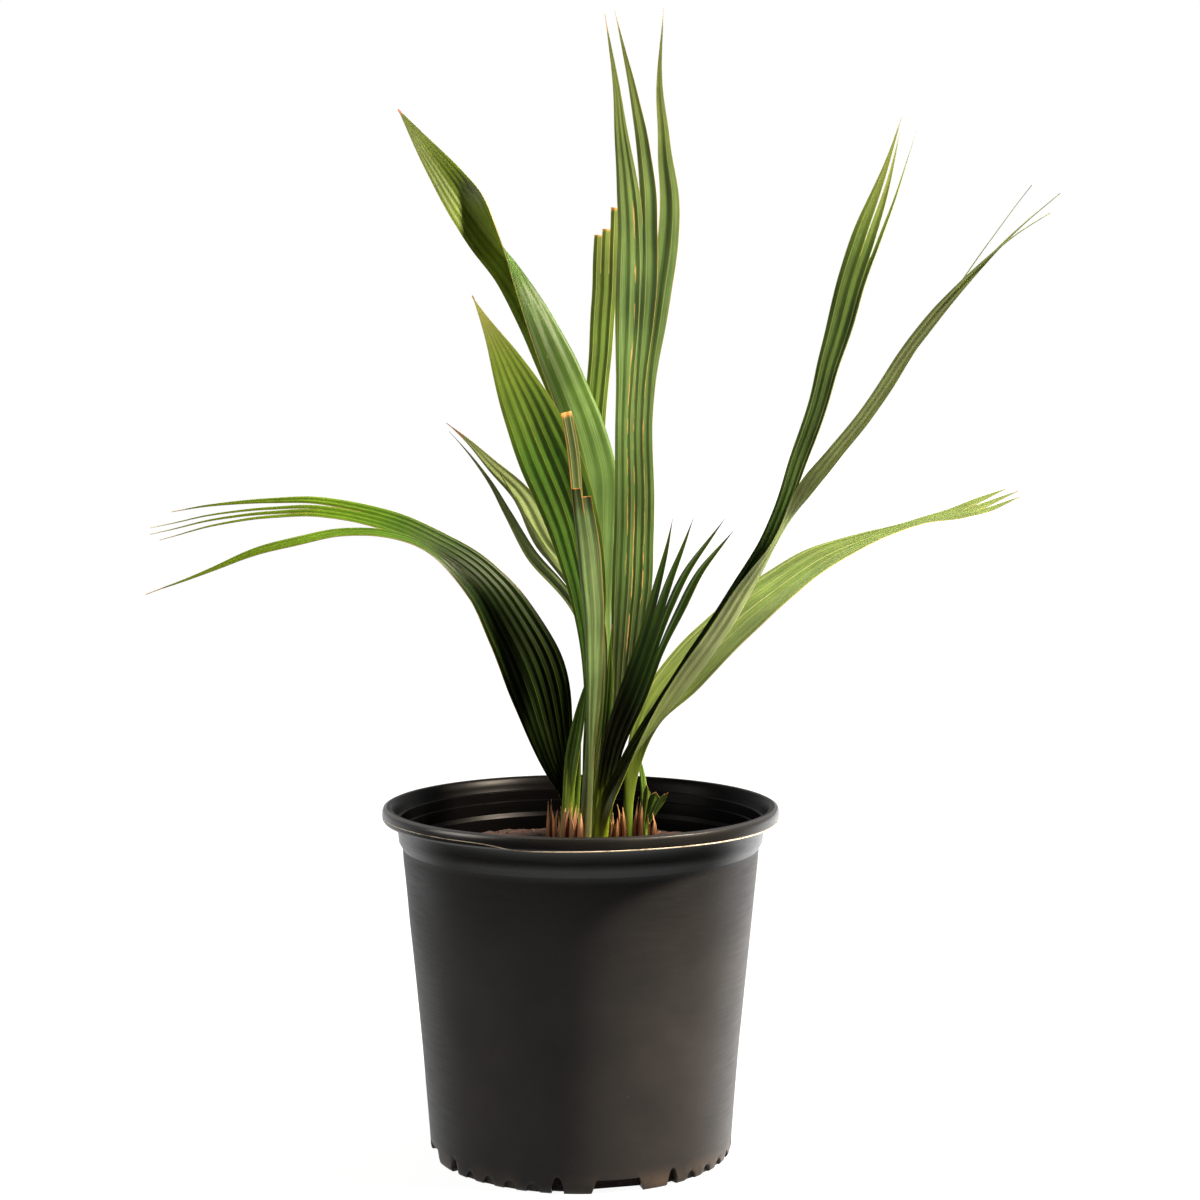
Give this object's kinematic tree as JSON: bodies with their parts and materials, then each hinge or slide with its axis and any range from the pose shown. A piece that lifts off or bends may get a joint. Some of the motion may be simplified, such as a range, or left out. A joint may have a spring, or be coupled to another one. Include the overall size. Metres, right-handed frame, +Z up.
{
  "type": "potted dwarf palmetto",
  "caption": "Young dwarf palmetto with pleated, split and trimmed fronds, standing in soil in a tapered black nursery pot with a rolled rim.",
  "frame": {"origin": "middle of the pot's underside, on the surface it stands on", "axes": "+Z up, +X to the right and -Y towards someone who looks at the plant's front"},
  "size_m": [0.6296, 0.28, 0.8121],
  "materials": {
    "pot": "blow-moulded polypropylene, semi-matt, dusty near its foot",
    "soil": "damp bark and coir crumbs",
    "blade_dark": "dark green leaf with a waxy sheen",
    "blade_bright": "fresh green leaf with a waxy sheen",
    "blade_grey": "grey-green leaf underside with pale ribs",
    "blade_yellow": "thin yellow-green leaf, lit through",
    "sheath": "dry woody fibre, matt and frayed"
  },
  "bodies": {
    "root": {"pot": "pot", "soil": "soil", "frond_left_arching": "blade_dark", "frond_left_tall": "blade_grey", "frond_left_bright": "blade_bright", "frond_left_ragged": "blade_grey", "frond_front_cut": "blade_grey", "frond_middle_tall": "blade_grey", "frond_back_cut": "blade_yellow", "frond_right_fan": "blade_dark", "frond_right_tall": "blade_grey", "frond_right_arching": "blade_yellow", "leaf_small_left": "blade_bright", "leaf_small_front": "blade_bright", "leaf_spear": "blade_bright", "leaf_torn_stub": "blade_bright", "leaf_torn_fan": "blade_bright", "sheath_scrap_1": "sheath", "sheath_scrap_2": "sheath", "sheath_scrap_3": "sheath", "sheath_scrap_4": "sheath", "sheath_scrap_5": "sheath", "sheath_scrap_6": "sheath", "sheath_scrap_7": "sheath", "sheath_scrap_8": "sheath", "sheath_scrap_9": "sheath"}
  },
  "joints": []
}
